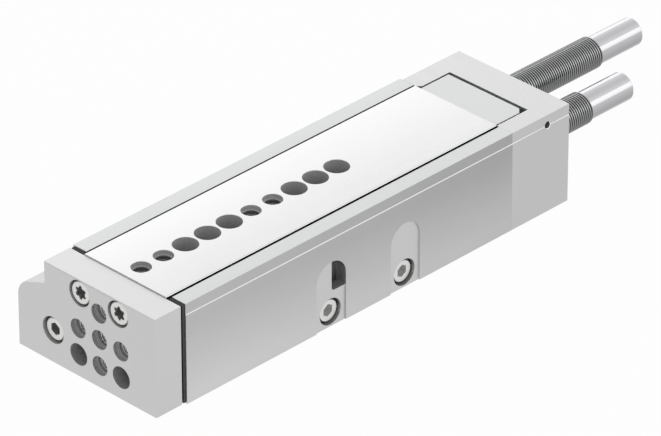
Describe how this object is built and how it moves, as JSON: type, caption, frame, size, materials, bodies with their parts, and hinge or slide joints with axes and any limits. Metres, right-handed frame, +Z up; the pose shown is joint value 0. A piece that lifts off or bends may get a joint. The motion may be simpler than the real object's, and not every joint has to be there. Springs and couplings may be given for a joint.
{
  "type": "pneumatic slide table",
  "caption": "Compact pneumatic slide table: ball-guided steel table over a side cylinder, yoke plate in front, threaded shock absorbers out of the rear cap.",
  "frame": {"origin": "front locating recess in the flat underside, on the centre line of the table", "axes": "+X along the stroke, out of the housing at the yoke; +Y out of the long side with the screw pockets; +Z up, out of the table's top"},
  "size_m": [0.2797, 0.0652, 0.0384],
  "materials": {
    "housing_alu": "extruded and ground, clear anodised",
    "cap_alu": "milled, clear anodised",
    "yoke_alu": "milled, clear anodised",
    "carrier_alu": "milled, matt",
    "table_steel": "hardened steel, finely ground",
    "rail_steel": "hardened steel, ground",
    "ball_steel": "polished bearing steel",
    "screw_steel": "zinc-plated steel",
    "thread_steel": "dark steel",
    "spring_steel": "spring steel",
    "sleeve_chrome": "bright turned steel",
    "rod_chrome": "hard-chromed and ground",
    "cage_brass": "machined brass",
    "black_plastic": "moulded, matt black",
    "seal_rubber": "moulded rubber",
    "magnet": "plastic-bonded magnet"
  },
  "bodies": {
    "housing": {"housing": "housing_alu", "rear_cap": "cap_alu", "front_cover": "black_plastic", "front_cover_screws": "screw_steel", "cap_screws": "screw_steel", "guide_rail_right": "rail_steel", "guide_rail_left": "rail_steel", "stop_bar": "rail_steel", "stop_screws": "screw_steel", "rod_gland": "cage_brass", "rod_wiper": "seal_rubber", "rod_seal": "seal_rubber", "cylinder_end_plug": "cap_alu", "gland_o_ring": "seal_rubber", "plug_o_ring": "seal_rubber", "retract_lock_nut": "screw_steel"},
    "table": {"slide_table": "table_steel", "yoke_plate": "yoke_alu", "yoke_screws": "screw_steel", "rod_screw": "screw_steel", "rear_carrier": "carrier_alu", "carrier_screws": "screw_steel", "piston_rod": "rod_chrome", "piston": "cap_alu", "piston_seals": "seal_rubber", "piston_magnet": "magnet", "advance_lock_nut": "screw_steel"},
    "right_cage": {"ball_cage_right": "cage_brass", "guide_balls_right": "ball_steel"},
    "left_cage": {"ball_cage_left": "cage_brass", "guide_balls_left": "ball_steel"},
    "retract_absorber": {"retract_absorber_barrel": "thread_steel", "retract_absorber_sleeve": "sleeve_chrome", "retract_absorber_spring": "spring_steel"},
    "retract_buffer": {"retract_buffer_rod": "rod_chrome"},
    "advance_absorber": {"advance_absorber_barrel": "thread_steel", "advance_absorber_sleeve": "sleeve_chrome", "advance_absorber_spring": "spring_steel"},
    "advance_buffer": {"advance_buffer_rod": "rod_chrome"}
  },
  "joints": [
    {"name": "table_stroke", "type": "slide", "parent": "housing", "child": "table", "axis": [1, 0, 0], "range_m": [0, 0.08]},
    {"name": "right_cage_roll", "type": "slide", "parent": "housing", "child": "right_cage", "axis": [1, 0, 0], "range_m": [0, 0.04]},
    {"name": "left_cage_roll", "type": "slide", "parent": "housing", "child": "left_cage", "axis": [1, 0, 0], "range_m": [0, 0.04]},
    {"name": "retract_setting", "type": "slide", "parent": "housing", "child": "retract_absorber", "axis": [1, 0, 0], "range_m": [-0.008, 0]},
    {"name": "retract_buffer_push", "type": "slide", "parent": "retract_absorber", "child": "retract_buffer", "axis": [1, 0, 0], "range_m": [-0.01, 0], "stiffness_N_per_m": 400, "springref_m": 0.003, "deforming": ["retract_absorber_spring"]},
    {"name": "advance_setting", "type": "slide", "parent": "table", "child": "advance_absorber", "axis": [1, 0, 0], "range_m": [-0.008, 0]},
    {"name": "advance_buffer_push", "type": "slide", "parent": "advance_absorber", "child": "advance_buffer", "axis": [1, 0, 0], "range_m": [-0.01, 0], "stiffness_N_per_m": 400, "springref_m": 0.003, "deforming": ["advance_absorber_spring"]}
  ],
  "couplings": [
    {"joint": "right_cage_roll", "follows": "table_stroke", "ratio": 0.5},
    {"joint": "left_cage_roll", "follows": "table_stroke", "ratio": 0.5}
  ]
}
